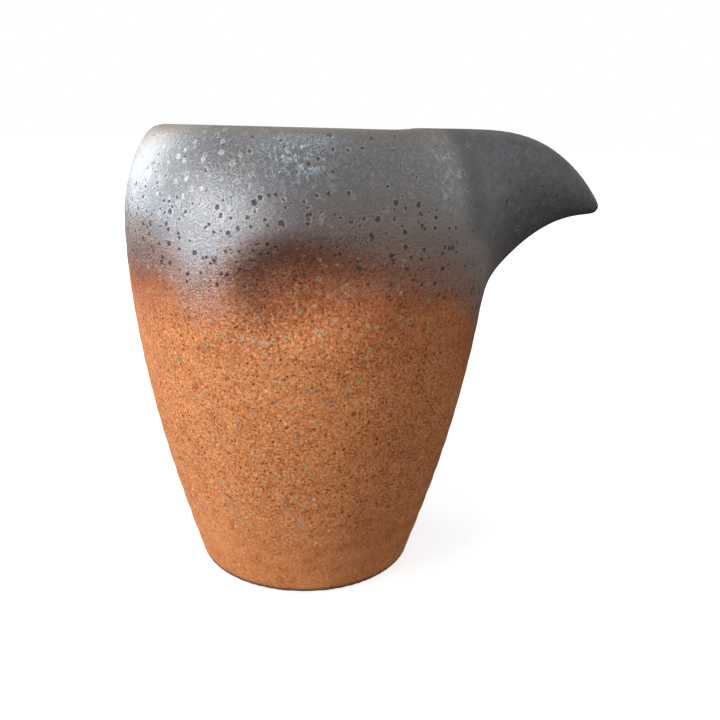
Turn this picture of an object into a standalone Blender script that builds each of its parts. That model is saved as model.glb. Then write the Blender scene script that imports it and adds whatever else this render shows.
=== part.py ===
"""Stoneware sake pourer of the one-lipped kind: a wheel-thrown beaker with an
in-turned shoulder, and a hand-formed open beak that is luted over a notch cut
in its wall.  Metres, +Z up.  Origin: centre of the flat base.  The beak points
along +X, and the thumb dent that the hand finds first is on the -Y side."""

import math

import bmesh
import bpy

MM = 0.001

# ---------------------------------------------------------------- dimensions
# All in millimetres.

# Thrown body, outside
BASE_RADIUS = 28.6        # where the wall leaves the base edge
BASE_EDGE = 1.1           # rounding of the base edge
BELLY_RADIUS = 44.4       # widest turn of the wall
BELLY_HEIGHT = 87.5
RIM_HEIGHT = 110.55       # lip of the mouth, before its tilt
RIM_RADIUS = 34.5         # outer edge of the lip
WALL_FLARE = 0.285        # slope dr/dz with which the wall leaves the base
WALL_PULL = 0.25          # length of that start, as a share of the wall
BELLY_PULL = 0.38         # length of the upright stretch below the belly
SHOULDER_PULL = 0.45      # length of the upright stretch above the belly
LIP_PULL = 6.0            # length of the flat stretch before the lip
LIP_SLOPE = 0.15          # its slope, radians
RIM_TILT = 0.009          # the lip rises this much per mm towards the beak
RIM_TILT_FROM = -32.0     # x where the tilt starts from nothing

# Thrown body, inside
WALL = 3.6                # wall thickness
FLOOR = 6.0               # floor thickness
FLOOR_FILLET = 6.0        # turn between floor and wall

# Pressed dents for thumb and finger
DENT_ANGLE = 96.0         # degrees from the beak, on both sides
DENT_HEIGHT = 79.8
DENT_TO_BACK = 8.0        # half widths of a print: towards the back,
DENT_TO_BEAK = 13.5       # towards the beak,
DENT_UPWARDS = 6.2        # up
DENT_DOWNWARDS = 8.2      # and down
DENT_EDGE = 1.7           # over 1, the print has a firmer edge
DENT_DEPTH = 5.0

# Beak
BEAK_TIP = 72.2           # reach of the tip from the axis
BEAK_ROOT = 28.0          # x where the beak leaves the lip
BEAK_HALF_WIDTH = 18.0    # half width at the root
BEAK_TIP_HALF_WIDTH = 3.4
BEAK_TAPER = 1.7          # plan outline: higher is fuller
BEAK_CREST = 111.3        # highest point of its edge
BEAK_CREST_X = 38.0
BEAK_EDGE_DROP = 17.0     # fall of the edge from crest to tip
BEAK_EDGE_CURVE = 2.4
KEEL_HEIGHT = 92.0        # underside at the tip
KEEL_DROP = 17.4          # fall of the underside back to the body
KEEL_RUN = 27.0
KEEL_CURVE = 2.25
BEAK_WALL = 3.2           # wall at the root
BEAK_TIP_WALL = 2.3       # wall at the tip

# Luting coil: soft clay worked into the seam between body and beak
LUTE_INNER = 0.3          # distance from the body's skin to the coil
LUTE_OUTER = 3.0          # distance from the body's skin to the coil's far side
LUTE_PROUD = 1.2          # how far the coil stands out past the beak's wall
SEAM_GAP = 0.3            # clearance between neighbouring pieces

# Mesh density
TURN_STEPS = 64
WALL_POINTS = 10
SHOULDER_POINTS = 7
SECTION_POINTS = 18
STATIONS = 15

# ------------------------------------------------------------------- helpers


def clear_scene():
    for obj in list(bpy.data.objects):
        bpy.data.objects.remove(obj, do_unlink=True)


def new_collection(name):
    col = bpy.data.collections.new(name)
    bpy.context.scene.collection.children.link(col)
    return col


def clay(name, colour, roughness):
    mat = bpy.data.materials.new(name)
    mat.use_nodes = True
    bsdf = mat.node_tree.nodes["Principled BSDF"]
    bsdf.inputs["Base Color"].default_value = (*colour, 1.0)
    bsdf.inputs["Roughness"].default_value = roughness
    bsdf.inputs["Metallic"].default_value = 0.0
    return mat


def bezier(p0, p1, p2, p3, count):
    """Points of a cubic, both ends included."""
    out = []
    for i in range(count + 1):
        t = i / count
        a, b, c, d = (1 - t) ** 3, 3 * (1 - t) ** 2 * t, 3 * (1 - t) * t * t, t ** 3
        out.append((a * p0[0] + b * p1[0] + c * p2[0] + d * p3[0],
                    a * p0[1] + b * p1[1] + c * p2[1] + d * p3[1]))
    return out


def offset_curve(points, distance):
    """Push a profile that runs top to bottom away from the axis."""
    out = []
    for i, (r, z) in enumerate(points):
        r0, z0 = points[max(i - 1, 0)]
        r1, z1 = points[min(i + 1, len(points) - 1)]
        tr, tz = r1 - r0, z1 - z0
        length = math.hypot(tr, tz)
        out.append((r - tz / length * distance, z + tr / length * distance))
    return out


def skin_profile():
    """Outside of the thrown body from the lip down to the base edge."""
    rise = BELLY_HEIGHT - BASE_EDGE
    wall = bezier((BASE_RADIUS, BASE_EDGE),
                  (BASE_RADIUS + WALL_FLARE * WALL_PULL * rise, BASE_EDGE + WALL_PULL * rise),
                  (BELLY_RADIUS, BELLY_HEIGHT - BELLY_PULL * rise),
                  (BELLY_RADIUS, BELLY_HEIGHT), WALL_POINTS)
    top = RIM_HEIGHT - BELLY_HEIGHT
    shoulder = bezier((BELLY_RADIUS, BELLY_HEIGHT),
                      (BELLY_RADIUS, BELLY_HEIGHT + SHOULDER_PULL * top),
                      (RIM_RADIUS + LIP_PULL * math.cos(LIP_SLOPE),
                       RIM_HEIGHT - LIP_PULL * math.sin(LIP_SLOPE)),
                      (RIM_RADIUS, RIM_HEIGHT), SHOULDER_POINTS)
    return list(reversed(wall + shoulder[1:]))


def body_profile():
    """Whole section: floor centre, inside, lip, outside, base centre."""
    skin = skin_profile()
    inside = [p for p in reversed(offset_curve(skin, -WALL)) if p[1] > FLOOR + FLOOR_FILLET]
    foot_r = inside[0][0]
    turn = []
    for i in range(1, 4):
        a = math.pi / 2 * i / 4
        turn.append((foot_r - 1.0 - FLOOR_FILLET + FLOOR_FILLET * math.sin(a),
                     FLOOR + FLOOR_FILLET - FLOOR_FILLET * math.cos(a)))
    lip = []
    (ri, zi), (ro, zo) = inside[-1], skin[0]
    for i in range(1, 5):
        a = math.pi * i / 5
        lip.append(((ri + ro) / 2 - WALL / 2 * math.sin(a),
                    (zi + zo) / 2 - (zo - zi) / 2 * math.cos(a)))
    edge = []
    for i in range(1, 4):
        a = math.pi / 2 * i / 3
        edge.append((BASE_RADIUS - BASE_EDGE + BASE_EDGE * math.cos(a),
                     BASE_EDGE - BASE_EDGE * math.sin(a)))
    floor = [(0.0, FLOOR), (foot_r * 0.4, FLOOR), (foot_r - 1.0 - FLOOR_FILLET, FLOOR)]
    base = [(BASE_RADIUS * 0.45, 0.0), (0.0, 0.0)]
    return floor + turn + inside + lip + skin + edge + base


def turned(name, profile, collection, closed=False, steps=TURN_STEPS):
    """Revolve a section about Z with a Screw modifier and keep the mesh."""
    mesh = bpy.data.meshes.new(name + "_section")
    edges = [(i, i + 1) for i in range(len(profile) - 1)]
    if closed:
        edges.append((len(profile) - 1, 0))
    mesh.from_pydata([(r * MM, 0.0, z * MM) for r, z in profile], edges, [])
    section = bpy.data.objects.new(name + "_section", mesh)
    collection.objects.link(section)
    screw = section.modifiers.new("turn", "SCREW")
    screw.axis = "Z"
    screw.angle = math.tau
    screw.steps = steps
    screw.render_steps = steps
    screw.use_merge_vertices = True
    screw.merge_threshold = 0.00005
    bpy.context.view_layer.update()
    graph = bpy.context.evaluated_depsgraph_get()
    solid = bpy.data.meshes.new_from_object(section.evaluated_get(graph))
    bpy.data.objects.remove(section, do_unlink=True)
    bm = bmesh.new()
    bm.from_mesh(solid)
    bmesh.ops.remove_doubles(bm, verts=bm.verts, dist=0.00005)
    bmesh.ops.recalc_face_normals(bm, faces=bm.faces)
    bm.to_mesh(solid)
    bm.free()
    solid.name = name
    obj = bpy.data.objects.new(name, solid)
    collection.objects.link(obj)
    return obj


def dent(theta, radius, z):
    """Depth of the finger dents at a place on the wall."""
    depth = 0.0
    for side in (-1, 1):
        turn = theta - side * math.radians(DENT_ANGLE)
        turn = (turn + math.pi) % math.tau - math.pi
        u = -side * radius * turn
        v = z - DENT_HEIGHT
        u /= DENT_TO_BEAK if u > 0.0 else DENT_TO_BACK
        v /= DENT_UPWARDS if v > 0.0 else DENT_DOWNWARDS
        depth += DENT_DEPTH * math.exp(-0.5 * (u * u + v * v) ** DENT_EDGE)
    return depth


def shape_by_hand(obj):
    """Press the dents in and tilt the lip, as the soft wall was worked."""
    for vert in obj.data.vertices:
        x, y, z = (c / MM for c in vert.co)
        radius = math.hypot(x, y)
        if radius > 5.0 and z > FLOOR + FLOOR_FILLET:
            press = dent(math.atan2(y, x), BELLY_RADIUS, z)
            x -= x / radius * press
            y -= y / radius * press
        lift = min(max((z - BELLY_HEIGHT) / (RIM_HEIGHT - BELLY_HEIGHT), 0.0), 1.0)
        z += RIM_TILT * (x - RIM_TILT_FROM) * lift * lift
        vert.co = (x * MM, y * MM, z * MM)


# ----------------------------------------------------------------- beak form


def beak_share(x):
    return min(max((x - BEAK_ROOT) / (BEAK_TIP - BEAK_ROOT), 0.0), 1.0)


def beak_half_width(x):
    full = (1 - beak_share(x) ** BEAK_TAPER) ** 0.9
    return BEAK_TIP_HALF_WIDTH + (BEAK_HALF_WIDTH - BEAK_TIP_HALF_WIDTH) * full


def beak_edge(x):
    run = max(x - BEAK_CREST_X, 0.0) / (BEAK_TIP - BEAK_CREST_X)
    return BEAK_CREST - BEAK_EDGE_DROP * run ** BEAK_EDGE_CURVE


def beak_keel(x):
    back = max(BEAK_TIP - x, 0.0) / KEEL_RUN
    return KEEL_HEIGHT - KEEL_DROP * back ** KEEL_CURVE


def beak_wall(x):
    return BEAK_WALL + (BEAK_TIP_WALL - BEAK_WALL) * beak_share(x)


def beak_section(x, grow, top=None):
    """U from one edge under the keel to the other; grow moves it outwards."""
    edge = beak_edge(x) if top is None else top
    half = beak_half_width(x) + grow
    depth = beak_edge(x) - (beak_keel(x) - grow)
    points = []
    for j in range(SECTION_POINTS + 1):
        a = math.pi * j / SECTION_POINTS
        drop = math.sin(a) ** (2.0 / 3.0) * depth
        z = edge if j in (0, SECTION_POINTS) else beak_edge(x) - drop
        points.append((x, half * math.cos(a), z))
    return points


def stations(start, stop, count):
    """Stations that crowd towards the tip."""
    return [start + (stop - start) * math.sin(math.pi / 2 * i / count) for i in range(count + 1)]


def channel(name, collection, start, proud):
    """Open U channel lofted from the root to a rounded tip."""
    rings = []
    for x in stations(start, BEAK_TIP - 1.0, STATIONS):
        rings.append((beak_section(x, proud), beak_section(x, -beak_wall(x))))
    outer, inner = rings[-1]
    nose = []
    for a, b in zip(outer, inner):
        mid = [(p + q) / 2 for p, q in zip(a, b)]
        nose.append(([p + (m - p) * 0.5 for p, m in zip(a, mid)],
                     [q + (m - q) * 0.5 for q, m in zip(b, mid)]))
    rings.append(([(BEAK_TIP, p[1], p[2]) for p, _ in nose],
                  [(BEAK_TIP, q[1], q[2]) for _, q in nose]))
    bm = bmesh.new()
    grid = [([bm.verts.new([c * MM for c in p]) for p in outer],
             [bm.verts.new([c * MM for c in p]) for p in inner]) for outer, inner in rings]
    last = SECTION_POINTS
    for (o0, i0), (o1, i1) in zip(grid, grid[1:]):
        for j in range(last):
            bm.faces.new((o0[j], o1[j], o1[j + 1], o0[j + 1]))
            bm.faces.new((i0[j], i0[j + 1], i1[j + 1], i1[j]))
        bm.faces.new((o0[0], i0[0], i1[0], o1[0]))
        bm.faces.new((o0[last], o1[last], i1[last], i0[last]))
    for o, i, flip in ((*grid[0], False), (*grid[-1], True)):
        for j in range(last):
            face = (o[j], o[j + 1], i[j + 1], i[j])
            bm.faces.new(tuple(reversed(face)) if flip else face)
    bmesh.ops.recalc_face_normals(bm, faces=bm.faces)
    mesh = bpy.data.meshes.new(name)
    bm.to_mesh(mesh)
    bm.free()
    obj = bpy.data.objects.new(name, mesh)
    collection.objects.link(obj)
    return obj


def notch_cutter(name, collection, start, stop):
    """Solid plug of the beak's hollow, open upwards past the lip."""
    bm = bmesh.new()
    rings = []
    for i in range(7):
        x = start + (stop - start) * i / 6
        points = beak_section(x, -BEAK_WALL, top=RIM_HEIGHT + 12.0)
        rings.append([bm.verts.new([c * MM for c in p]) for p in points])
    for a, b in zip(rings, rings[1:]):
        n = len(a)
        for j in range(n):
            k = (j + 1) % n
            bm.faces.new((a[j], b[j], b[k], a[k]))
    bm.faces.new(rings[0])
    bm.faces.new(list(reversed(rings[-1])))
    bmesh.ops.recalc_face_normals(bm, faces=bm.faces)
    mesh = bpy.data.meshes.new(name)
    bm.to_mesh(mesh)
    bm.free()
    obj = bpy.data.objects.new(name, mesh)
    collection.objects.link(obj)
    return obj


def as_cutter(obj):
    obj.hide_render = True
    obj.display_type = "WIRE"


def cut(obj, tool, operation):
    mod = obj.modifiers.new(operation.lower() + "_" + tool.name, "BOOLEAN")
    mod.operation = operation
    mod.solver = "EXACT"
    mod.object = tool


def finish(obj, material, parent):
    obj.data.materials.clear()
    obj.data.materials.append(material)
    obj.data.shade_smooth()
    obj.data.set_sharp_from_angle(angle=math.radians(35))
    obj.parent = parent


# --------------------------------------------------------------------- build

clear_scene()
parts = new_collection("sake_pourer")
cutters = new_collection("cutters")

root = bpy.data.objects.new("pourer_origin", None)
parts.objects.link(root)

# Thrown body with its dents, tilted lip and the notch behind the beak
body = turned("thrown_body", body_profile(), parts)
shape_by_hand(body)
notch = notch_cutter("notch_cutter", cutters, 20.0, 52.0)
as_cutter(notch)
cut(body, notch, "DIFFERENCE")

# Turned guides that follow the body's skin at a distance
skin = skin_profile()
seat = offset_curve(skin, LUTE_OUTER + SEAM_GAP)
block = turned("seat_cutter", [(0.0, seat[0][1])] + seat + [(0.0, seat[-1][1])], cutters)
shape_by_hand(block)
as_cutter(block)

near = offset_curve(skin, LUTE_INNER)
far = offset_curve(skin, LUTE_OUTER)
band = turned("lute_band", far + list(reversed(near)), cutters, closed=True)
shape_by_hand(band)
as_cutter(band)

# Beak: an open channel whose root is cut to sit on the luting coil
beak = channel("beak_spout", parts, BEAK_ROOT - 2.0, 0.0)
cut(beak, block, "DIFFERENCE")

# Luting coil: the seam clay, following both the wall and the beak's section
lute = channel("luting_coil", parts, BEAK_ROOT + 2.5, LUTE_PROUD)
cut(lute, band, "INTERSECT")

finish(body, clay("iron_stoneware", (0.30, 0.125, 0.050), 0.62), root)
finish(beak, clay("slate_glazed_beak", (0.060, 0.064, 0.072), 0.42), root)
finish(lute, clay("slate_glazed_seam", (0.085, 0.085, 0.092), 0.45), root)
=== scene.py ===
"""Looks of the stoneware sake pourer: skin, glaze, studio and camera."""

import math

import bmesh
import bpy
import numpy as np
from mathutils import Matrix, Vector


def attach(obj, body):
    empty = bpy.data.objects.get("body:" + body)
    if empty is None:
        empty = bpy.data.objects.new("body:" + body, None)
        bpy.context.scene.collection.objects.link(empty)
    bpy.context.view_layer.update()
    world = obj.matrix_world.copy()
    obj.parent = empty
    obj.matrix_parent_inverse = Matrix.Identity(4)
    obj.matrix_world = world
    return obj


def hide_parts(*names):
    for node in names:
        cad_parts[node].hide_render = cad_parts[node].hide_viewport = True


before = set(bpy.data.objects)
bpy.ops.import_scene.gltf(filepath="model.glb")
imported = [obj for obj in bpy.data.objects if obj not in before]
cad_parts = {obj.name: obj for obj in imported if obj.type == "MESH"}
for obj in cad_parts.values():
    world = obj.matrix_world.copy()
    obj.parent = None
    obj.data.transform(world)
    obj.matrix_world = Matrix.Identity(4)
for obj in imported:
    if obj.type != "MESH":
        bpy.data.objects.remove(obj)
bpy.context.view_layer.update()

MM = 0.001

# ------------------------------------------------------------------ form, mm
BASE_RADIUS = 28.6
BASE_EDGE = 1.1
BELLY_RADIUS = 44.4
BELLY_HEIGHT = 87.5
RIM_HEIGHT = 110.55
RIM_RADIUS = 34.5
MOUTH_RADIUS = 32.5
WALL_FLARE = 0.285
WALL_PULL = 0.25
BELLY_PULL = 0.38
SHOULDER_PULL = 0.45
LIP_PULL = 6.0
LIP_SLOPE = 0.15
RIM_TILT = 0.009
RIM_TILT_FROM = -32.0
WALL = 3.6
FLOOR = 6.0
FLOOR_FILLET = 6.0
LIP_ROUND = 1.55

DENT_ANGLE = 96.0
DENT_HEIGHT = 79.8
DENT_TO_BACK = 8.0        # half widths of the thumb's print: towards the back,
DENT_TO_BEAK = 13.5       # towards the beak,
DENT_UPWARDS = 6.2        # up
DENT_DOWNWARDS = 8.2      # and down
DENT_EDGE = 1.7           # over 1, the print has a firmer edge
DENT_DEPTH = 5.0

BEAK_TIP = 72.2
BEAK_ROOT = 28.0
BEAK_HALF_WIDTH = 18.0
BEAK_TIP_HALF_WIDTH = 3.4
BEAK_TAPER = 1.7
BEAK_CREST = 111.3
BEAK_CREST_X = 38.0
BEAK_EDGE_DROP = 17.0
BEAK_EDGE_CURVE = 2.4
KEEL_HEIGHT = 91.7
KEEL_DROP = 16.9
KEEL_RUN = 27.0
KEEL_CURVE = 2.25
BEAK_WALL = 3.2
BEAK_TIP_WALL = 2.3

FILLET_KEEL = 3.2         # softness of the worked seam under the beak
FILLET_SIDE = 8.5         # and beside it
FILLET_INSIDE = 5.0       # and inside
SEAM_HEIGHT = 3.0         # the seam clay ends this far from the body's skin
SEAM_PROUD = 2.5          # and this far outside the beak's wall
GRID = 0.95               # spacing of the body's mesh
GRID_FINE = 0.6           # spacing of the beak's mesh


# ----------------------------------------------------------- turned profiles
def bezier(p0, p1, p2, p3, count):
    t = np.linspace(0.0, 1.0, count + 1)[:, None]
    p0, p1, p2, p3 = (np.array(p, float) for p in (p0, p1, p2, p3))
    return (1 - t) ** 3 * p0 + 3 * (1 - t) ** 2 * t * p1 + 3 * (1 - t) * t * t * p2 + t ** 3 * p3


def skin_profile(wall_points=90, shoulder_points=60):
    """Outside of the body from the base edge up to the lip."""
    rise = BELLY_HEIGHT - BASE_EDGE
    wall = bezier((BASE_RADIUS, BASE_EDGE),
                  (BASE_RADIUS + WALL_FLARE * WALL_PULL * rise, BASE_EDGE + WALL_PULL * rise),
                  (BELLY_RADIUS, BELLY_HEIGHT - BELLY_PULL * rise),
                  (BELLY_RADIUS, BELLY_HEIGHT), wall_points)
    top = RIM_HEIGHT - BELLY_HEIGHT
    shoulder = bezier((BELLY_RADIUS, BELLY_HEIGHT),
                      (BELLY_RADIUS, BELLY_HEIGHT + SHOULDER_PULL * top),
                      (RIM_RADIUS + LIP_PULL * math.cos(LIP_SLOPE),
                       RIM_HEIGHT - LIP_PULL * math.sin(LIP_SLOPE)),
                      (RIM_RADIUS, RIM_HEIGHT), shoulder_points)
    return np.vstack([wall, shoulder[1:]])


def pushed(points, distance):
    """Profile that runs upwards, moved away from the axis by a distance."""
    d = np.gradient(points, axis=0)
    d /= np.linalg.norm(d, axis=1)[:, None]
    return points + distance * np.stack([d[:, 1], -d[:, 0]], 1)


def outside_outline():
    a = np.linspace(0.0, math.pi / 2, 12)[:-1]
    edge = np.stack([BASE_RADIUS - BASE_EDGE + BASE_EDGE * np.sin(a),
                     BASE_EDGE - BASE_EDGE * np.cos(a)], 1)
    return np.vstack([[(-5.0, 0.0)], edge, skin_profile(), [(-5.0, RIM_HEIGHT)]])


def inside_outline():
    inner = pushed(skin_profile(), -WALL)
    inner = inner[inner[:, 1] > FLOOR + FLOOR_FILLET]
    foot = inner[0, 0]
    a = np.linspace(0.0, math.pi / 2, 16)[:-1]
    turn = np.stack([foot - FLOOR_FILLET + FLOOR_FILLET * np.sin(a),
                     FLOOR + FLOOR_FILLET - FLOOR_FILLET * np.cos(a)], 1)
    top = inner[-1, 1]
    return np.vstack([[(-5.0, FLOOR)], turn, inner,
                      [(MOUTH_RADIUS, top + 0.2), (MOUTH_RADIUS, 150.0), (-5.0, 150.0)]])


class Section:
    """Signed distance to a closed outline in the r-z half plane, as a table."""

    def __init__(self, outline, step=0.25, r_max=86.0, z_min=-12.0, z_max=128.0):
        self.step, self.r0, self.z0 = step, -2.0, z_min
        r = np.arange(self.r0, r_max, step)
        z = np.arange(z_min, z_max, step)
        rr, zz = np.meshgrid(r, z, indexing="ij")
        a = outline
        b = np.roll(outline, -1, axis=0)
        best = np.full(rr.shape, 1e9)
        inside = np.zeros(rr.shape, bool)
        for (ar, az), (br, bz) in zip(a, b):
            dr, dz = br - ar, bz - az
            length = dr * dr + dz * dz
            if length < 1e-12:
                continue
            t = np.clip(((rr - ar) * dr + (zz - az) * dz) / length, 0.0, 1.0)
            np.minimum(best, (rr - ar - t * dr) ** 2 + (zz - az - t * dz) ** 2, out=best)
            if az != bz:
                cross = ((az > zz) != (bz > zz)) & (rr < (br - ar) * (zz - az) / (bz - az) + ar)
                inside ^= cross
        self.table = np.where(inside, -1.0, 1.0) * np.sqrt(best)

    def __call__(self, r, z):
        u = np.clip((r - self.r0) / self.step, 0.0, self.table.shape[0] - 1.001)
        v = np.clip((z - self.z0) / self.step, 0.0, self.table.shape[1] - 1.001)
        i, j = u.astype(int), v.astype(int)
        u, v = u - i, v - j
        t = self.table
        return ((t[i, j] * (1 - u) + t[i + 1, j] * u) * (1 - v)
                + (t[i, j + 1] * (1 - u) + t[i + 1, j + 1] * u) * v)


# ---------------------------------------------------------------- beak forms
def beak_share(x):
    return np.clip((x - BEAK_ROOT) / (BEAK_TIP - BEAK_ROOT), 0.0, 1.0)


def beak_half_width(x):
    full = (1 - beak_share(x) ** BEAK_TAPER) ** 0.9
    return BEAK_TIP_HALF_WIDTH + (BEAK_HALF_WIDTH - BEAK_TIP_HALF_WIDTH) * full


def beak_edge(x):
    run = np.clip(x - BEAK_CREST_X, 0.0, None) / (BEAK_TIP - BEAK_CREST_X)
    return BEAK_CREST - BEAK_EDGE_DROP * run ** BEAK_EDGE_CURVE


def beak_keel(x):
    back = np.clip(BEAK_TIP - x, 0.0, None) / KEEL_RUN
    return KEEL_HEIGHT - KEEL_DROP * back ** KEEL_CURVE


def beak_wall(x):
    return BEAK_WALL + (BEAK_TIP_WALL - BEAK_WALL) * beak_share(x)


def trough(x, y, z, grow):
    """Rough distance to the U-shaped trough of the beak."""
    def level(x, y, z):
        g = grow(x) if callable(grow) else grow
        half = beak_half_width(x) + g
        depth = beak_edge(x) - beak_keel(x) + g
        drop = np.clip((beak_edge(x) - z) / depth, 0.0, None)
        return (y / half) ** 2 + drop ** 3 - 1.0

    e = 0.04
    f = level(x, y, z)
    gx = (level(x + e, y, z) - level(x - e, y, z)) / (2 * e)
    gy = (level(x, y + e, z) - level(x, y - e, z)) / (2 * e)
    gz = (level(x, y, z + e) - level(x, y, z - e)) / (2 * e)
    return f / np.maximum(np.sqrt(gx * gx + gy * gy + gz * gz), 0.03)


# ------------------------------------------------------------- whole form
def soft_min(a, b, k):
    h = np.clip(k - np.abs(a - b), 0.0, None) / k
    return np.minimum(a, b) - h * h * k * 0.25


def round_max(a, b, r):
    return (np.minimum(np.maximum(a, b), -r)
            + np.sqrt(np.clip(a + r, 0.0, None) ** 2 + np.clip(b + r, 0.0, None) ** 2))


def dents(theta, z):
    depth = np.zeros_like(z)
    for side in (-1, 1):
        turn = (theta - side * math.radians(DENT_ANGLE) + math.pi) % math.tau - math.pi
        u = -side * BELLY_RADIUS * turn
        v = z - DENT_HEIGHT
        u = np.where(u > 0.0, u / DENT_TO_BEAK, u / DENT_TO_BACK)
        v = np.where(v > 0.0, v / DENT_UPWARDS, v / DENT_DOWNWARDS)
        depth += DENT_DEPTH * np.exp(-0.5 * (u * u + v * v) ** DENT_EDGE)
    return depth


def fillet(z):
    t = np.clip((z - 74.0) / 24.0, 0.0, 1.0)
    return FILLET_KEEL + (FILLET_SIDE - FILLET_KEEL) * t * t * (3 - 2 * t)


OUTSIDE = Section(outside_outline())
INSIDE = Section(inside_outline())


def on_wheel(x, y, z):
    """Undo the lip's tilt, and give radius, angle and height on the wheel."""
    lift = np.clip((z - BELLY_HEIGHT) / (RIM_HEIGHT - BELLY_HEIGHT), 0.0, 1.0)
    return np.hypot(x, y), np.arctan2(y, x), z - RIM_TILT * (x - RIM_TILT_FROM) * lift * lift


def hand_wobble(theta, z):
    """Slow unevenness of a hand-held turn, and faint spiral finger ridges."""
    slow = (0.16 * np.sin(2 * theta + 0.03 * z + 0.7) + 0.10 * np.sin(3 * theta - 0.05 * z + 2.1)
            + 0.06 * np.sin(5 * theta + 0.11 * z))
    low = np.clip(1.0 - z / 46.0, 0.0, 1.0)
    ridge = (0.035 + 0.055 * low) * np.sin(math.tau * (z / 6.3) + theta + 0.6 * np.sin(2 * theta))
    fade = np.clip((z - 2.0) / 6.0, 0.0, 1.0) * np.clip((106.0 - z) / 10.0, 0.0, 1.0)
    return (slow + ridge) * fade


def body_outside(x, y, z):
    r, theta, z = on_wheel(x, y, z)
    return OUTSIDE(r + dents(theta, z) - hand_wobble(theta, z), z)


def body_inside(x, y, z):
    r, theta, z = on_wheel(x, y, z)
    rings = 0.16 * np.sin(math.tau * z / 7.2 + theta) * np.clip((z - 12.0) / 8.0, 0.0, 1.0) \
        * np.clip((102.0 - z) / 8.0, 0.0, 1.0)
    coil = 0.22 * np.sin(math.tau * r / 6.5 - theta) * np.clip((14.0 - z) / 4.0, 0.0, 1.0) \
        * np.clip((r - 2.0) / 6.0, 0.0, 1.0)
    return INSIDE(r + dents(theta, z) - rings, z + coil)


def top_edge(x):
    """Height at which the lip and the beak's edge are wiped off level."""
    t = np.clip((x - 22.0) / 14.0, 0.0, 1.0)
    rim = RIM_HEIGHT + RIM_TILT * (x - RIM_TILT_FROM)
    return rim + (beak_edge(x) - rim) * t * t * (3 - 2 * t)


def pot(x, y, z):
    """Below zero inside the clay of the whole pourer."""
    beak = np.maximum(np.maximum(trough(x, y, z, 0.0), 28.5 - x), 56.0 - z)
    beak = round_max(beak, x - BEAK_TIP, 1.2)
    outer = soft_min(body_outside(x, y, z), beak, fillet(z))
    outer = round_max(outer, z - top_edge(x), LIP_ROUND)
    hollow = np.maximum(trough(x, y, z, lambda x: -beak_wall(x)), 20.0 - x)
    inner = soft_min(body_inside(x, y, z), hollow, FILLET_INSIDE)
    return round_max(outer, -inner, LIP_ROUND)


# --------------------------------------------------------------- skin mesh
def skin_mesh(field, low, high, step):
    """Quads on the zero level of a field: cell points, relaxed and pulled on to it."""
    axes = [np.arange(a, b + step, step) for a, b in zip(low, high)]
    n = [len(a) for a in axes]
    values = np.empty(n)
    for i, x in enumerate(axes[0]):
        yy, zz = np.meshgrid(axes[1], axes[2], indexing="ij")
        values[i] = field(np.full(yy.shape, x), yy, zz)
    neg = values < 0.0
    cells = [slice(None, -1), slice(1, None)]
    count = np.zeros([m - 1 for m in n], np.int8)
    for a in cells:
        for b in cells:
            for c in cells:
                count += neg[a, b, c]
    active = (count > 0) & (count < 8)
    ijk = np.argwhere(active)
    number = np.full(active.shape, -1)
    number[active] = np.arange(len(ijk))
    total = np.zeros((len(ijk), 3))
    hits = np.zeros(len(ijk))
    corners = [(a, b, c) for a in (0, 1) for b in (0, 1) for c in (0, 1)]
    for p in corners:
        for axis in range(3):
            if p[axis]:
                continue
            q = tuple(1 if d == axis else p[d] for d in range(3))
            ip, iq = ijk + p, ijk + q
            vp, vq = values[tuple(ip.T)], values[tuple(iq.T)]
            cross = (vp < 0) != (vq < 0)
            t = np.where(cross, vp / np.where(cross, vp - vq, 1.0), 0.0)
            total += np.where(cross[:, None], ip + (iq - ip) * t[:, None], 0.0)
            hits += cross
    points = np.array(low) + step * total / hits[:, None]
    quads = []
    for axis in range(3):
        u, v = (axis + 1) % 3, (axis + 2) % 3
        first = [slice(None)] * 3
        second = [slice(None)] * 3
        first[axis], second[axis] = slice(None, -1), slice(1, None)
        change = neg[tuple(first)] != neg[tuple(second)]
        where = np.argwhere(change)
        keep = (where[:, u] > 0) & (where[:, v] > 0) & (where[:, u] < n[u] - 1) & (where[:, v] < n[v] - 1)
        where = where[keep]
        ring = []
        for du, dv in ((-1, -1), (0, -1), (0, 0), (-1, 0)):
            c = where.copy()
            c[:, u] += du
            c[:, v] += dv
            ring.append(number[tuple(c.T)])
        ring = np.stack(ring, 1)
        flip = ~neg[tuple(where.T)]
        ring[flip] = ring[flip][:, ::-1]
        quads.append(ring)
    quads = np.vstack(quads)

    def slope(p, e=0.03):
        out = np.empty_like(p)
        for d in range(3):
            a, b = p.copy(), p.copy()
            a[:, d] += e
            b[:, d] -= e
            out[:, d] = (field(*a.T) - field(*b.T)) / (2 * e)
        return out

    def pull(p, rounds):
        for _ in range(rounds):
            g = slope(p)
            f = field(*p.T)
            move = f / np.maximum((g * g).sum(1), 0.05)
            move = np.clip(move, -0.4, 0.4)
            p = p - g * move[:, None]
        return p

    edges = np.vstack([quads[:, [k, (k + 1) % 4]] for k in range(4)])
    degree = np.bincount(edges.ravel(), minlength=len(points)).astype(float)
    for _ in range(4):
        mean = np.zeros_like(points)
        for d in range(3):
            mean[:, d] = (np.bincount(edges[:, 0], points[edges[:, 1], d], len(points))
                          + np.bincount(edges[:, 1], points[edges[:, 0], d], len(points)))
        mean /= degree[:, None]
        points = pull(points + 0.6 * (mean - points), 1)
    return pull(points, 2), quads


def mesh_object(name, points, faces):
    mesh = bpy.data.meshes.new(name)
    mesh.from_pydata((np.asarray(points) * MM).tolist(), [], np.asarray(faces).tolist())
    mesh.update()
    obj = bpy.data.objects.new(name, mesh)
    bpy.context.scene.collection.objects.link(obj)
    return obj


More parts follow.
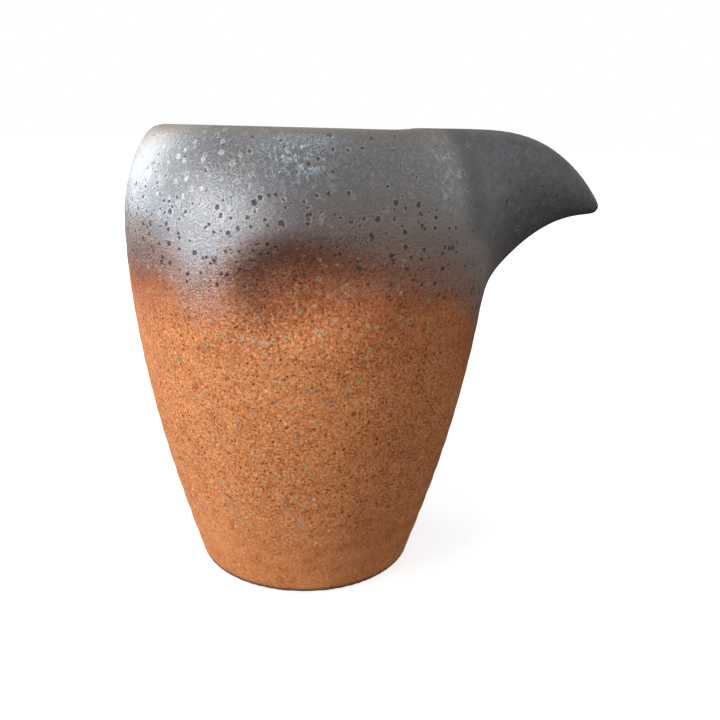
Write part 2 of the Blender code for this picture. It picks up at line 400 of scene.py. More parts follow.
# ------------------------------------------------------- cutting into pieces
def turned_solid(name, outline, turns=120):
    """Closed solid of a profile that starts and ends on the axis."""
    bm = bmesh.new()
    rings = []
    for k in range(turns):
        a = math.tau * k / turns
        c, s = math.cos(a), math.sin(a)
        rings.append([bm.verts.new((r * c * MM, r * s * MM, z * MM)) for r, z in outline[1:-1]])
    low = bm.verts.new((0.0, 0.0, outline[0][1] * MM))
    high = bm.verts.new((0.0, 0.0, outline[-1][1] * MM))
    for k in range(turns):
        a, b = rings[k], rings[(k + 1) % turns]
        bm.faces.new((low, b[0], a[0]))
        bm.faces.new((high, a[-1], b[-1]))
        for i in range(len(a) - 1):
            bm.faces.new((a[i], b[i], b[i + 1], a[i + 1]))
    for v in bm.verts:
        x, y, z = (c / MM for c in v.co)
        r = math.hypot(x, y)
        if r > 5.0:
            t = np.array([math.atan2(y, x)])
            zz = np.array([z])
            press = float(dents(t, zz)[0] - hand_wobble(t, zz)[0])
            x, y = x - x / r * press, y - y / r * press
        lift = min(max((z - BELLY_HEIGHT) / (RIM_HEIGHT - BELLY_HEIGHT), 0.0), 1.0)
        v.co = (x * MM, y * MM, (z + RIM_TILT * (x - RIM_TILT_FROM) * lift * lift) * MM)
    bmesh.ops.recalc_face_normals(bm, faces=bm.faces)
    mesh = bpy.data.meshes.new(name)
    bm.to_mesh(mesh)
    bm.free()
    obj = bpy.data.objects.new(name, mesh)
    bpy.context.scene.collection.objects.link(obj)
    return obj


def beak_tube(name, grow, start, stop, count=48, around=40):
    """Solid trough around the beak, open to the sky far above its edge."""
    bm = bmesh.new()
    rings = []
    for i in range(count + 1):
        x = start + (stop - start) * i / count
        xs = np.array(min(x, BEAK_TIP))
        half = float(beak_half_width(xs)) + grow
        edge = float(beak_edge(xs))
        depth = edge - float(beak_keel(xs)) + grow
        ring = []
        for j in range(around + 1):
            a = math.pi * j / around
            z = 128.0 if j in (0, around) else edge - depth * math.sin(a) ** (2.0 / 3.0)
            ring.append(bm.verts.new((x * MM, half * math.cos(a) * MM, z * MM)))
        rings.append(ring)
    for a, b in zip(rings, rings[1:]):
        for j in range(len(a)):
            k = (j + 1) % len(a)
            bm.faces.new((a[j], b[j], b[k], a[k]))
    bm.faces.new(rings[0])
    bm.faces.new(list(reversed(rings[-1])))
    bmesh.ops.recalc_face_normals(bm, faces=bm.faces)
    mesh = bpy.data.meshes.new(name)
    bm.to_mesh(mesh)
    bm.free()
    obj = bpy.data.objects.new(name, mesh)
    bpy.context.scene.collection.objects.link(obj)
    return obj


def carved(name, source, steps):
    """Copy of a solid after a row of cuts, as a plain mesh."""
    obj = bpy.data.objects.new(name, source.data.copy())
    bpy.context.scene.collection.objects.link(obj)
    for tool, operation in steps:
        mod = obj.modifiers.new(operation, "BOOLEAN")
        mod.object, mod.operation, mod.solver = tool, operation, "MANIFOLD"
    bpy.context.view_layer.update()
    graph = bpy.context.evaluated_depsgraph_get()
    mesh = bpy.data.meshes.new_from_object(obj.evaluated_get(graph))
    old = obj.data
    obj.modifiers.clear()
    obj.data = mesh
    bpy.data.meshes.remove(old)
    mesh.name = name
    mesh.shade_smooth()
    mesh.set_sharp_from_angle(angle=math.radians(48))
    return obj


def within(field, low, high):
    def cut(x, y, z):
        d = field(x, y, z)
        for v, a, b in zip((x, y, z), low, high):
            d = np.maximum(d, np.maximum(a - v, v - b))
        return d
    return cut


whole = mesh_object("whole", *skin_mesh(pot, (-47.0, -47.0, -2.0), (75.0, 47.0, 114.0), GRID))
near_low, near_high = (22.0, -29.0, 52.0), (74.0, 29.0, 113.5)
near = mesh_object("near", *skin_mesh(within(pot, near_low, near_high),
                                      [c - 1.5 for c in near_low], [c + 1.5 for c in near_high], GRID_FINE))
skin = skin_profile()
tube = beak_tube("tube", SEAM_PROUD, 27.0, 80.0)
at_skin = turned_solid("at_skin", np.vstack([[(0.0, -8.0)], [(BASE_RADIUS, -8.0)], skin, [(0.0, RIM_HEIGHT)]]))
far = pushed(skin, SEAM_HEIGHT)
at_seam = turned_solid("at_seam", np.vstack([[(0.0, -9.0)], [(far[0, 0], -9.0)], far, [(0.0, far[-1, 1])]]))

keep = carved("beak_zone", tube, [(at_skin, "DIFFERENCE")])
body = carved("thrown_body_skin", whole, [(keep, "DIFFERENCE")])
beak = carved("beak_spout_skin", near, [(keep, "INTERSECT"), (at_seam, "DIFFERENCE")])
seam = carved("luting_coil_skin", near, [(keep, "INTERSECT"), (at_seam, "INTERSECT")])
for tool in (whole, near, tube, at_skin, at_seam, keep):
    mesh = tool.data
    bpy.data.objects.remove(tool, do_unlink=True)
    bpy.data.meshes.remove(mesh)

# ------------------------------------------------------- where the glaze lies
LINE_HEIGHT = 86.0        # mean height at which the glaze gives way to bare clay
LINE_UNDER_BEAK = -18.0   # it runs lower under the beak
LINE_BEAK_SPREAD = 47.0   # degrees
# rises and falls of that line around the pot: degrees, spread, height
LINE_WAVES = ((-152, 14, -0.8), (-121, 10, -4.4), (-97, 14, 1.8),
              (-50, 15, 1.3), (158, 16, -3.0), (124, 13, 2.0), (97, 12, -3.5), (70, 14, 1.5))
# half width of the change from clay to glaze, mm: mean, and swings around the pot
FADE = 5.2
FADE_WAVES = ((-155, 18, 1.2), (-119, 13, -1.8), (-75, 22, 1.4), (0, 50, 2.5), (128, 20, -1.5), (84, 16, 1.6))


def glaze_line(theta):
    deg = np.degrees(theta)
    line = LINE_HEIGHT + LINE_UNDER_BEAK * np.exp(-(deg / LINE_BEAK_SPREAD) ** 2)
    for angle, spread, height in LINE_WAVES:
        away = (deg - angle + 180.0) % 360.0 - 180.0
        line = line + height * np.exp(-(away / spread) ** 2)
    return line


def fade_width(theta):
    deg = np.degrees(theta)
    width = np.full_like(deg, FADE)
    for angle, spread, more in FADE_WAVES:
        away = (deg - angle + 180.0) % 360.0 - 180.0
        width = width + more * np.exp(-(away / spread) ** 2)
    return width


def step_up(v, low, high):
    t = np.clip((v - low) / (high - low), 0.0, 1.0)
    return t * t * (3 - 2 * t)


def dress(obj):
    """Write the smooth masks that the glaze, and the painted light and shade in its colour, follow on to a piece's
    points.
    """
    mesh = obj.data
    count = len(mesh.vertices)
    co = np.empty(count * 3, np.float32)
    mesh.vertices.foreach_get("co", co)
    x, y, z = (co.reshape(-1, 3).astype(float) / MM).T
    theta = np.arctan2(y, x)
    beak_d = np.maximum(np.maximum(trough(x, y, z, 0.0), 28.5 - x), 56.0 - z)
    body_d = body_outside(x, y, z)
    outer = soft_min(body_d, beak_d, fillet(z))
    inside = step_up(-outer, 0.9, 2.4)
    below_top = top_edge(x) - z
    beside = np.abs(np.degrees(theta)) - (12.0 + 27.0 * step_up(z, 76.0, 92.0))
    deg = np.degrees(theta)
    around = np.abs(deg)
    outer_skin = 1.0 - inside
    aside = np.where(around > 97.0, (around - 97.0) / 14.0, np.clip(85.0 - around, 0.0, None) / 22.0)

    def scorch_and_shade_lobe(angle, spread, mid, rise, fall):
        return np.exp(-((deg - angle) / spread) ** 2 - ((z - mid) / np.where(z > mid, rise, fall)) ** 2)

    masks = {
        "over_line": z - glaze_line(theta) + 130.0 * inside,
        "fade": fade_width(theta),
        "inside": inside,
        "lip": np.exp(-(np.clip(below_top, 0.0, None) / (2.2 + 2.4 * step_up(around, 128.0, 150.0))) ** 2) * step_up(z, 90.0, 93.0),
        "seam": np.exp(-((beside - 6.5) / 6.5) ** 2) * step_up(x, 18.0, 24.0) * outer_skin,
        "beak": step_up(-beside, -9.0, 12.0) * step_up(x, 22.0, 30.0),
        # beside the beak: the glaze is lightened there as painted light; the glaze line, rust, pits and relief also
        # differ there
        "pale": np.exp(-(deg / 50.0) ** 2) * step_up(z, 62.0, 74.0) * outer_skin,
        # painted shade: the glaze darkened over the dent, and between the lit patches high on the front
        "dusk": (np.maximum(0.77 * np.exp(-aside ** 2 - ((z - 91.2) / np.where(z > 91.2, 46.0, 4.0)) ** 2),
                            0.74 * np.exp(-((around - 113.0) / 14.0) ** 2 - ((z - 103.0) / 7.0) ** 2))
                 + 0.19 * np.exp(-((around - 94.0) / 8.0) ** 2 - ((z - 96.0) / 5.0) ** 2)) * outer_skin,
        # painted sheen: where the key lamp's sheen lies, left of the dent; the coat also reaches lower there
        "wash": np.exp(-((around - 116.5) / 15.0) ** 2) * outer_skin,
        # painted light at the back: rings, grit and pit rims painted whiter there as painted highlight; the mauve is
        # cooler there
        "bloom": np.exp(-((around - 132.0) / 32.0) ** 2) * step_up(z, 84.0, 96.0) * outer_skin,
        # painted shade in the crease where the beak meets the body
        "crease": np.exp(-((beside + 4.0) / 6.0) ** 2) * step_up(z, 84.0, 92.0) * step_up(x, 20.0, 28.0) * outer_skin,
        "rear": step_up(around, 122.0, 136.0) * outer_skin,
        "pepper": np.exp(-((around - 97.0) / 24.0) ** 2) * step_up(z, 101.5, 107.0) * outer_skin,
        "blots": np.exp(-((around - 152.0) / 13.0) ** 2 - ((z - 100.0) / 6.0) ** 2) * outer_skin,
        # painted reflection: the bluish patch high on the front where the sky lamp reflects
        "crystal": np.exp(-((around - 94.0) / 9.0) ** 2 - ((z - 104.5) / 4.2) ** 2) * outer_skin,
        # scorched clay in and below the dents, deepened as painted shade of the hollow
        "scorch": np.clip(scorch_and_shade_lobe(-97.5, 13.5, 84.5, 7.2, 9.0) + 0.50 * scorch_and_shade_lobe(-77.0, 12.0, 82.5, 5.0, 9.0)
                          + 0.35 * scorch_and_shade_lobe(-100.0, 12.0, 74.0, 7.0, 8.0) + 0.30 * scorch_and_shade_lobe(-76.0, 9.0, 75.0, 4.0, 6.0)
                          + scorch_and_shade_lobe(92.0, 14.0, 85.0, 5.5, 9.0), 0.0, 1.0),
    }
    for name, values in masks.items():
        layer = mesh.attributes.new(name, "FLOAT", "POINT")
        layer.data.foreach_set("value", np.ascontiguousarray(values, np.float32))


# ------------------------------------------------------------------ materials
class Recipe:
    """A node material, written as sums."""

    def __init__(self, name):
        self.mat = bpy.data.materials.new(name)
        self.mat.use_nodes = True
        self.tree = self.mat.node_tree
        self.tree.nodes.clear()

    def feed(self, socket, value):
        if isinstance(value, bpy.types.NodeSocket):
            self.tree.links.new(value, socket)
        elif isinstance(value, (tuple, list)):
            socket.default_value = tuple(value) + (1.0,) * (len(socket.default_value) - len(value))
        else:
            socket.default_value = value

    def add(self, kind, inputs=None, **settings):
        node = self.tree.nodes.new(kind)
        for key, value in settings.items():
            setattr(node, key, value)
        for key, value in (inputs or {}).items():
            self.feed(node.inputs[key], value)
        return node

    def math(self, operation, a, b=0.0, c=0.0, clamp=False):
        return self.add("ShaderNodeMath", {0: a, 1: b, 2: c}, operation=operation, use_clamp=clamp).outputs[0]

    def plus(self, a, b):
        return self.math("ADD", a, b)

    def times(self, a, b):
        return self.math("MULTIPLY", a, b)

    def most(self, a, b):
        return self.math("MAXIMUM", a, b)

    def flip(self, a):
        return self.math("SUBTRACT", 1.0, a)

    def rise(self, value, low, high):
        """0 below low, 1 above high, smooth between; falls if high is below low."""
        return self.add("ShaderNodeMapRange", {"Value": value, "From Min": low, "From Max": high},
                        interpolation_type="SMOOTHSTEP").outputs[0]

    def band(self, value, low, mid, high):
        return self.times(self.rise(value, low, mid), self.rise(value, high, mid))

    def mask(self, name):
        return self.add("ShaderNodeAttribute", attribute_name=name).outputs["Fac"]

    def noise(self, vector, scale, detail=2.0, rough=0.5, spread=0.0):
        return self.add("ShaderNodeTexNoise", {"Vector": vector, "Scale": scale, "Detail": detail,
                                               "Roughness": rough, "Distortion": spread}).outputs["Fac"]

    def cells(self, vector, pitch, loose=1.0):
        """Distance in mm to scattered points about one pitch apart, and three chances for each."""
        node = self.add("ShaderNodeTexVoronoi", {"Vector": vector, "Scale": 1.0 / pitch, "Randomness": loose})
        chance = self.add("ShaderNodeSeparateColor", {0: node.outputs["Color"]})
        return self.times(node.outputs["Distance"], pitch), chance.outputs[0], chance.outputs[1], chance.outputs[2]

    def mix(self, share, a, b, blend="MIX"):
        node = self.add("ShaderNodeMix", data_type="RGBA", blend_type=blend)
        self.feed(node.inputs[0], share)
        self.feed(node.inputs[6], a)
        self.feed(node.inputs[7], b)
        return node.outputs[2]

    def ramp(self, value, stops):
        node = self.add("ShaderNodeValToRGB", {0: value})
        marks = node.color_ramp.elements
        while len(marks) < len(stops):
            marks.new(0.5)
        for mark, (place, colour) in zip(marks, stops):
            mark.position = place
            mark.color = tuple(colour) + (1.0,)
        return node.outputs[0]


CLAY = (0.532, 0.183, 0.057)
CLAY_LIGHT = (0.590, 0.219, 0.075)
CLAY_RED = (0.300, 0.080, 0.026)
CLAY_PALE = (0.735, 0.360, 0.165)
BURNT_AND_SHADED = (0.480, 0.400, 0.370)
RUST = (0.360, 0.108, 0.040)
UMBER = (0.232, 0.085, 0.043)
MAUVE = (0.178, 0.124, 0.106)
MAUVE_COOL = (0.170, 0.160, 0.178)
LILAC_SHEEN_WARM = (0.420, 0.325, 0.300)
LILAC_SHEEN_COOL = (0.390, 0.390, 0.425)
ROSE = (0.300, 0.118, 0.080)
SLATE = (0.132, 0.129, 0.129)
SLATE_PAINTED_LIGHT = (0.187, 0.182, 0.179)
SLATE_COOL = (0.099, 0.108, 0.126)
SLATE_DEEP = (0.068, 0.070, 0.077)
SLATE_BLACK = (0.070, 0.070, 0.073)
FROST = (0.420, 0.420, 0.415)
SKY_REFLECTION_BLUE = (0.350, 0.400, 0.455)
MILK_AND_HIGHLIGHT = (0.550, 0.540, 0.510)
PIT = (0.040, 0.023, 0.016)
PIT_BROWN = (0.090, 0.043, 0.027)
PIT_RIM = (0.275, 0.228, 0.185)
RING = (0.320, 0.285, 0.170)
RING_COOL = (0.300, 0.272, 0.190)
RING_HEART = (0.120, 0.105, 0.062)
FLECK = (0.780, 0.500, 0.290)
SPECK = (0.052, 0.020, 0.009)
LIP_TAN = (0.135, 0.106, 0.082)


def stoneware(name):
    """Iron-bearing stoneware under a slate glaze that thins out downwards, with painted light and shade laid into its
    colour.
    """
    m = Recipe(name)
    local = m.add("ShaderNodeTexCoord").outputs["Object"]
    p = m.add("ShaderNodeVectorMath", {0: local, "Scale": 1.0 / MM}, operation="SCALE").outputs[0]
    place = m.add("ShaderNodeSeparateXYZ", {0: p})
    along, height = place.outputs["X"], place.outputs["Z"]
    inside, lip, seam, beak, pale, scorch, dusk, bloom, wash, crease, rear, crystal, pepper, blots = (
        m.mask(n) for n in ("inside", "lip", "seam", "beak", "pale", "scorch", "dusk", "bloom", "wash",
                            "crease", "rear", "crystal", "pepper", "blots"))

    def moved(*by):
        return m.add("ShaderNodeVectorMath", {0: p, 1: by}).outputs[0]

    def stretched(*by):
        return m.add("ShaderNodeVectorMath", {0: p, 1: by}, operation="MULTIPLY").outputs[0]

    # height above the ragged line where the glaze ends, in mm of a middling fade
    drift = m.times(m.plus(m.noise(p, 0.11, 2.0, 0.5), -0.5), 4.5)
    ragged = m.times(m.plus(m.noise(p, 0.75, 4.0, 0.65), -0.5), 4.5)
    over = m.plus(m.plus(m.mask("over_line"), drift), ragged)
    u = m.times(m.math("DIVIDE", over, m.mask("fade")), 5.2)
    u = m.times(u, m.plus(m.times(m.times(m.math("LESS_THAN", over, 0.0), pale), 0.7), 1.0))
    glazed = m.rise(u, -3.0, 7.0)
    bare = m.flip(glazed)
    film = m.rise(u, m.plus(m.times(wash, -13.0), -9.0), m.plus(m.times(wash, -4.0), -1.0))
    film = m.times(film, m.flip(m.most(m.times(m.times(scorch, m.rise(u, 9.0, 1.0)), 0.8), m.times(lip, 0.5))))

    # bare clay, calmer towards the foot
    calm = m.rise(height, 30.0, 6.0)
    lively = m.flip(m.times(calm, 0.48))
    soft = m.flip(m.times(m.rise(height, 38.0, 17.0), 0.55))
    grain = m.noise(p, 1.65, 3.0, 0.75)
    fine = m.noise(moved(4.0, 9.0, 2.0), 2.6, 2.0, 0.6)
    patch = m.noise(p, 0.30, 4.0, 0.62)
    blotch = m.noise(moved(9.0, -6.0, 3.0), 0.80, 3.0, 0.7)
    slow = m.noise(p, 0.07, 3.0, 0.55)
    clay = m.mix(m.rise(slow, 0.30, 0.70), CLAY, CLAY_LIGHT)
    clay = m.mix(m.times(m.rise(patch, 0.48, 0.74), 0.55), clay, CLAY_RED)
    clay = m.mix(m.times(m.rise(blotch, 0.51, 0.68), m.times(lively, 0.75)), clay, CLAY_RED)

    # glaze: grey, lightened beside the beak's seam as painted light, darkened over the dent as painted shade, and
    # darker on the beak
    cloud = m.noise(p, 0.17, 4.0, 0.6)
    grit = m.noise(moved(-3.0, 1.0, 6.0), 1.55, 2.0, 0.75)
    glaze = m.mix(pale, SLATE, SLATE_PAINTED_LIGHT)
    # painted shade: the glaze drawn towards black over the dent
    glaze = m.mix(m.times(dusk, 0.39), glaze, SLATE_BLACK)
    dapple = m.noise(moved(5.0, 5.0, 5.0), 0.42, 5.0, 0.68)
    glaze = m.mix(beak, glaze, m.mix(m.rise(dapple, 0.36, 0.64), SLATE_DEEP, SLATE_COOL))
    glaze = m.mix(m.times(m.rise(cloud, 0.46, 0.72), m.times(m.flip(m.most(beak, pale)), 0.30)), glaze, MAUVE)
    # frosty grit, whiter at the back as painted glints
    glaze = m.mix(m.times(m.rise(grit, 0.50, 0.70), m.plus(m.plus(m.times(bloom, 0.16), m.times(beak, -0.14)), 0.28)), glaze, FROST)
    glaze = m.mix(m.times(m.rise(grit, 0.50, 0.30), 0.55), glaze, SLATE_BLACK)
    glaze = m.mix(m.times(inside, 0.5), glaze, SLATE_BLACK)

    # the change from clay to glaze, and the dent: a scorch on the clay, darkened further as painted shade of its
    # hollow
    base = m.mix(m.times(m.rise(u, -21.0, -6.0), m.plus(m.plus(m.times(pale, -0.55), m.times(rear, 0.14)), 0.68)), clay, RUST)
    base = m.mix(m.times(m.rise(u, -9.0, -1.0), 0.90), base, UMBER)
    base = m.mix(m.rise(u, -3.0, 5.0), base, m.mix(bloom, MAUVE, MAUVE_COOL))
    base = m.mix(m.rise(u, 3.0, 14.0), base, glaze)
    # the dent scorched, and darkened as painted shade
    base = m.mix(m.times(scorch, m.rise(u, 13.0, 3.0)), base, BURNT_AND_SHADED, "MULTIPLY")
    # painted shade over the dent and the upper front
    base = m.mix(dusk, base, (0.40, 0.40, 0.425), "MULTIPLY")
    # painted shade in the crease beside the beak
    base = m.mix(crease, base, (0.50, 0.51, 0.53), "MULTIPLY")
    base = m.mix(m.times(m.times(rear, m.band(u, -13.0, -1.0, 8.0)), 1.0), base, (0.48, 0.43, 0.42), "MULTIPLY")
    # painted sheen: a lilac-grey wash over the line, left of the dent
    base = m.mix(m.times(m.times(wash, m.band(u, -8.0, 3.0, 17.0)), 0.63), base,
                 m.mix(m.rise(u, -3.0, 7.0), LILAC_SHEEN_WARM, LILAC_SHEEN_COOL))
    # painted sheen at the back above the line: the glaze tinted cooler and washed light blue
    base = m.mix(m.times(m.times(rear, m.rise(u, 2.0, 10.0)), 0.90), base, (0.87, 0.955, 1.0), "MULTIPLY")
    base = m.mix(m.times(m.times(rear, m.band(u, 2.0, 9.0, 18.0)), 0.25), base, (0.27, 0.33, 0.42))
    rose = m.rise(m.noise(moved(7.0, 3.0, -2.0), 0.22, 3.0, 0.6), 0.46, 0.66)
    base = m.mix(m.times(m.times(rose, m.most(wash, rear)), m.times(m.band(u, -34.0, -14.0, -3.0), 0.30)), base, ROSE)

    # the thin film draws into wrinkles: whitish on the ridges as painted glints, rusty in the valleys
    edge = m.band(u, -14.0, -1.0, 13.0)
    wrinkle = m.noise(stretched(0.82, 0.82, 1.5), 1.4, 3.0, 0.6, 0.9)
    wrinkle_glint_zone = m.times(wash, m.band(u, -18.0, -4.0, 9.0))
    base = m.mix(m.times(m.times(wrinkle_glint_zone, 0.62), m.rise(wrinkle, 0.52, 0.63)), base,
                 m.mix(m.rise(u, -7.0, 3.0), (0.50, 0.31, 0.24), (0.54, 0.53, 0.54)))
    base = m.mix(m.times(m.times(wrinkle_glint_zone, 0.90), m.rise(wrinkle, 0.50, 0.39)), base, (0.185, 0.078, 0.048))

    # sugary grain of the glaze, strongest towards the back of the pot, where its whitish grains are partly painted
    # glints
    sugar = m.noise(moved(8.0, 2.0, -5.0), 2.6, 2.0, 0.75)
    crust = m.times(film, m.plus(m.times(m.most(bloom, wash), 0.40), 0.10))
    base = m.mix(m.times(m.rise(sugar, 0.52, 0.70), m.times(crust, 0.70)), base, FROST)
    base = m.mix(m.times(m.rise(sugar, 0.48, 0.30), crust), base, SLATE_BLACK)

    # sugary mottling of the clay, which shows through the thin glaze too
    show = m.times(m.flip(m.times(m.rise(u, -6.0, 8.0), 0.85)), lively)
    base = m.mix(m.times(m.rise(grain, 0.49, 0.29), m.times(show, 0.85)), base, (0.42, 0.25, 0.18), "MULTIPLY")
    base = m.mix(m.times(m.flip(soft), show), base, (0.86, 0.81, 0.80), "MULTIPLY")
    small = m.times(show, soft)
    base = m.mix(m.times(m.rise(fine, 0.47, 0.30), m.times(small, 0.90)), base, (0.42, 0.25, 0.17), "MULTIPLY")
    lit = m.times(show, m.plus(m.times(m.rise(u, -3.0, -18.0), 0.40), 0.40))
    base = m.mix(m.times(m.rise(grain, 0.51, 0.66), lit), base,
                 m.mix(m.rise(u, -18.0, -3.0), CLAY_PALE, (0.45, 0.185, 0.085)))
    for pitch, radius, share, strength, by in ((0.90, 0.31, 0.60, 0.95, (1.0, 3.0, 8.0)),
                                               (1.45, 0.36, 0.55, 0.97, (-2.0, 7.0, 5.0))):
        d, c1, c2, c3 = m.cells(moved(*by), pitch)
        dot = m.times(m.rise(d, m.plus(m.times(c2, radius * 0.6), radius * 0.6), radius * 0.2),
                      m.math("LESS_THAN", c1, share))
        base = m.mix(m.times(dot, m.times(small, strength)), base, (0.33, 0.16, 0.105), "MULTIPLY")

    # frost where the glaze pooled beside the worked seam
    drift = m.rise(m.noise(moved(2.0, 6.0, 1.0), 0.46, 5.0, 0.70, 0.3), 0.40, 0.60)
    dust = m.rise(m.noise(p, 0.85, 4.0, 0.75), 0.48, 0.60)
    veil = m.times(m.plus(m.times(drift, 0.80), 0.15), m.times(seam, m.rise(height, 90.0, 100.0)))
    veil = m.times(veil, m.flip(m.times(m.rise(height, 105.0, 109.0), 0.40)))
    base = m.mix(m.times(veil, m.plus(m.times(dust, 0.85), 0.08)), base, FROST)
    # painted reflection: bluish streaks high on the front, over a streaky relief
    streak = m.noise(stretched(1.0, 1.0, 0.75), 0.95, 3.0, 0.7, 1.1)
    base = m.mix(m.times(crystal, m.times(m.rise(streak, 0.50, 0.62), 0.80)), base, SKY_REFLECTION_BLUE)

    # pale rings with a dull heart: greenish high on the clay, cool lower down
    wander = m.times(m.plus(m.noise(p, 1.9, 2.0, 0.7), -0.5), 1.7)
    d, c1, c2, c3 = m.cells(moved(0.0, 0.0, 7.0), 2.15)
    near = m.plus(m.math("DIVIDE", d, m.plus(m.times(c2, 0.26), 0.43)), m.times(wander, 0.8))
    here = m.times(m.rise(c1, 0.0, 0.65), m.times(bare, m.plus(m.times(calm, -0.40), 0.80)))
    here = m.times(here, m.plus(m.times(m.rise(m.noise(moved(6.0, -3.0, 2.0), 0.13, 1.0), 0.38, 0.58), 0.75), 0.38))
    base = m.mix(m.times(m.band(near, 0.34, 0.77, 1.16), here), base,
                 m.mix(m.rise(height, 44.0, 70.0), RING_COOL, RING))
    base = m.mix(m.times(m.rise(near, 0.58, 0.18), m.times(here, 0.80)), base, RING_HEART)

    # milky rings and blots in the glaze, painted white towards the back of the pot as painted highlight, their hearts
    # greyer there as painted reflection
    d, c1, c2, c3 = m.cells(moved(11.0, 5.0, 3.0), 1.95)
    near = m.plus(m.math("DIVIDE", d, m.plus(m.times(c2, 0.36), 0.34)), wander)
    here = m.times(m.math("GREATER_THAN", c1, m.plus(m.times(bloom, -0.28), 0.74)), m.times(glazed, m.flip(beak)))
    ring = m.times(m.band(near, 0.22, 0.70, 1.40), m.times(here, m.plus(m.times(c3, 0.75), 0.25)))
    base = m.mix(m.times(ring, m.plus(m.times(bloom, 0.60), 0.30)), base, m.mix(bloom, PIT_RIM, MILK_AND_HIGHLIGHT))
    base = m.mix(m.times(m.rise(near, 0.55, 0.15), m.times(here, m.times(m.rise(c3, 0.20, 0.50), 0.80))), base,
                 m.mix(bloom, PIT_BROWN, (0.125, 0.108, 0.095)))

    # broad cream blots towards the back
    d, c1, c2, c3 = m.cells(moved(-6.0, 4.0, 10.0), 4.2)
    near = m.plus(m.math("DIVIDE", d, m.plus(m.times(c2, 0.80), 0.90)), m.times(wander, 0.8))
    blot = m.times(m.rise(near, 1.15, 0.50), m.times(m.math("LESS_THAN", c1, 0.55), blots))
    base = m.mix(m.times(blot, 0.55), base, (0.66, 0.65, 0.60))

    # iron pits, thickest just above the line, and a sprinkle of small ones under the lip
    shape = m.times(m.plus(m.noise(p, 2.2, 1.0, 0.5), -0.5), 1.25)
    flock = m.plus(m.times(m.rise(m.noise(moved(1.0, 1.0, -4.0), 0.15, 1.0), 0.36, 0.60), 0.90), 0.50)
    pit, rim = None, None
    for pitch, small, large, few, many, reach, high, by in ((1.55, 0.24, 0.28, 0.05, 0.62, 24.0, 0.70, (-7.0, 13.0, 1.7)),
                                                            (2.20, 0.36, 0.40, 0.10, 0.95, 16.0, 0.12, (21.0, 2.0, -8.0))):
        d, c1, c2, c3 = m.cells(moved(*by), pitch)
        near_line = m.band(over, -7.0, 3.0, reach)
        chance = m.times(m.plus(m.times(m.times(near_line, m.flip(m.times(pale, 0.35))), many), few), m.rise(over, -12.0, -1.0))
        chance = m.most(m.times(chance, m.plus(flock, m.times(rear, 0.45))), m.times(pepper, high))
        here = m.times(m.math("LESS_THAN", c1, chance), m.flip(inside))
        near = m.plus(m.math("DIVIDE", d, m.plus(m.times(m.math("POWER", c2, 1.6), large), small)), shape)
        this = m.times(m.rise(near, 1.10, 0.66), here)
        around = m.times(m.band(near, 0.75, 1.12, 1.80), m.times(here, m.rise(c3, 0.10, 0.60)))
        pit = this if pit is None else m.most(pit, this)
        rim = around if rim is None else m.most(rim, around)
    pit = m.times(pit, m.flip(m.times(beak, 0.25)))
    # pit rims lighter at the back as painted highlight
    base = m.mix(m.times(rim, m.times(glazed, m.plus(m.times(bloom, 0.06), 0.50))), base,
                 m.mix(m.rise(u, 10.0, 3.0), m.mix(bloom, PIT_RIM, (0.45, 0.44, 0.43)), (0.225, 0.130, 0.095)))
    base = m.mix(m.times(pit, m.plus(m.times(pale, -0.20), 0.92)), base, m.mix(m.times(m.rise(m.noise(p, 0.4, 1.0), 0.35, 0.60), m.plus(m.times(bloom, 0.55), 0.45)), PIT, PIT_BROWN))

    # a few large rusty spots on the beak
    d, c1, c2, c3 = m.cells(moved(2.0, -4.0, 6.0), 2.7)
    near = m.plus(m.math("DIVIDE", d, m.plus(m.times(c2, 0.35), 0.50)), shape)
    low = m.times(m.band(height, 89.0, 97.0, 108.0), m.rise(along, 64.0, 55.0))
    rust = m.times(m.rise(near, 1.25, 0.45), m.times(m.math("LESS_THAN", c1, 0.80), m.times(beak, m.flip(inside))))
    base = m.mix(m.times(rust, m.times(low, 0.95)), base, PIT_BROWN)

    # black specks and cream flecks of the clay
    d, c1, c2, c3 = m.cells(moved(3.0, -9.0, 4.0), 1.75)
    speck = m.times(m.rise(d, m.plus(m.times(c2, 0.26), 0.27), 0.13), m.math("LESS_THAN", c1, 0.48))
    speck = m.times(speck, m.times(bare, m.plus(m.times(calm, -0.6), 0.88)))
    base = m.mix(speck, base, SPECK)
    d, c1, c2, c3 = m.cells(moved(-5.0, 2.0, 9.0), 3.8)
    crumb = m.plus(d, m.times(wander, 0.35))
    fleck = m.times(m.rise(crumb, m.plus(m.times(c2, 0.25), 0.30), 0.10), m.math("LESS_THAN", c1, 0.45))
    base = m.mix(m.times(fleck, m.times(m.rise(u, -6.0, -18.0), 0.85)), base, FLECK)

    # warm line where the glaze breaks on the lip, a painted highlight on the lip's top, and a painted shadow along
    # the edge of the base
    base = m.mix(m.times(lip, m.plus(m.times(beak, -0.40), 0.72)), base, m.mix(rear, LIP_TAN, (0.27, 0.205, 0.155)))
    # painted highlight along the very top of the lip
    base = m.mix(m.times(m.math("POWER", lip, 4.0), m.times(dusk, 0.80)), base, (0.265, 0.240, 0.205))
    # painted shadow: a dark band along the foot's edge
    base = m.mix(m.times(m.rise(height, 2.00, 0.80), 0.70), base, (0.045, 0.028, 0.020))

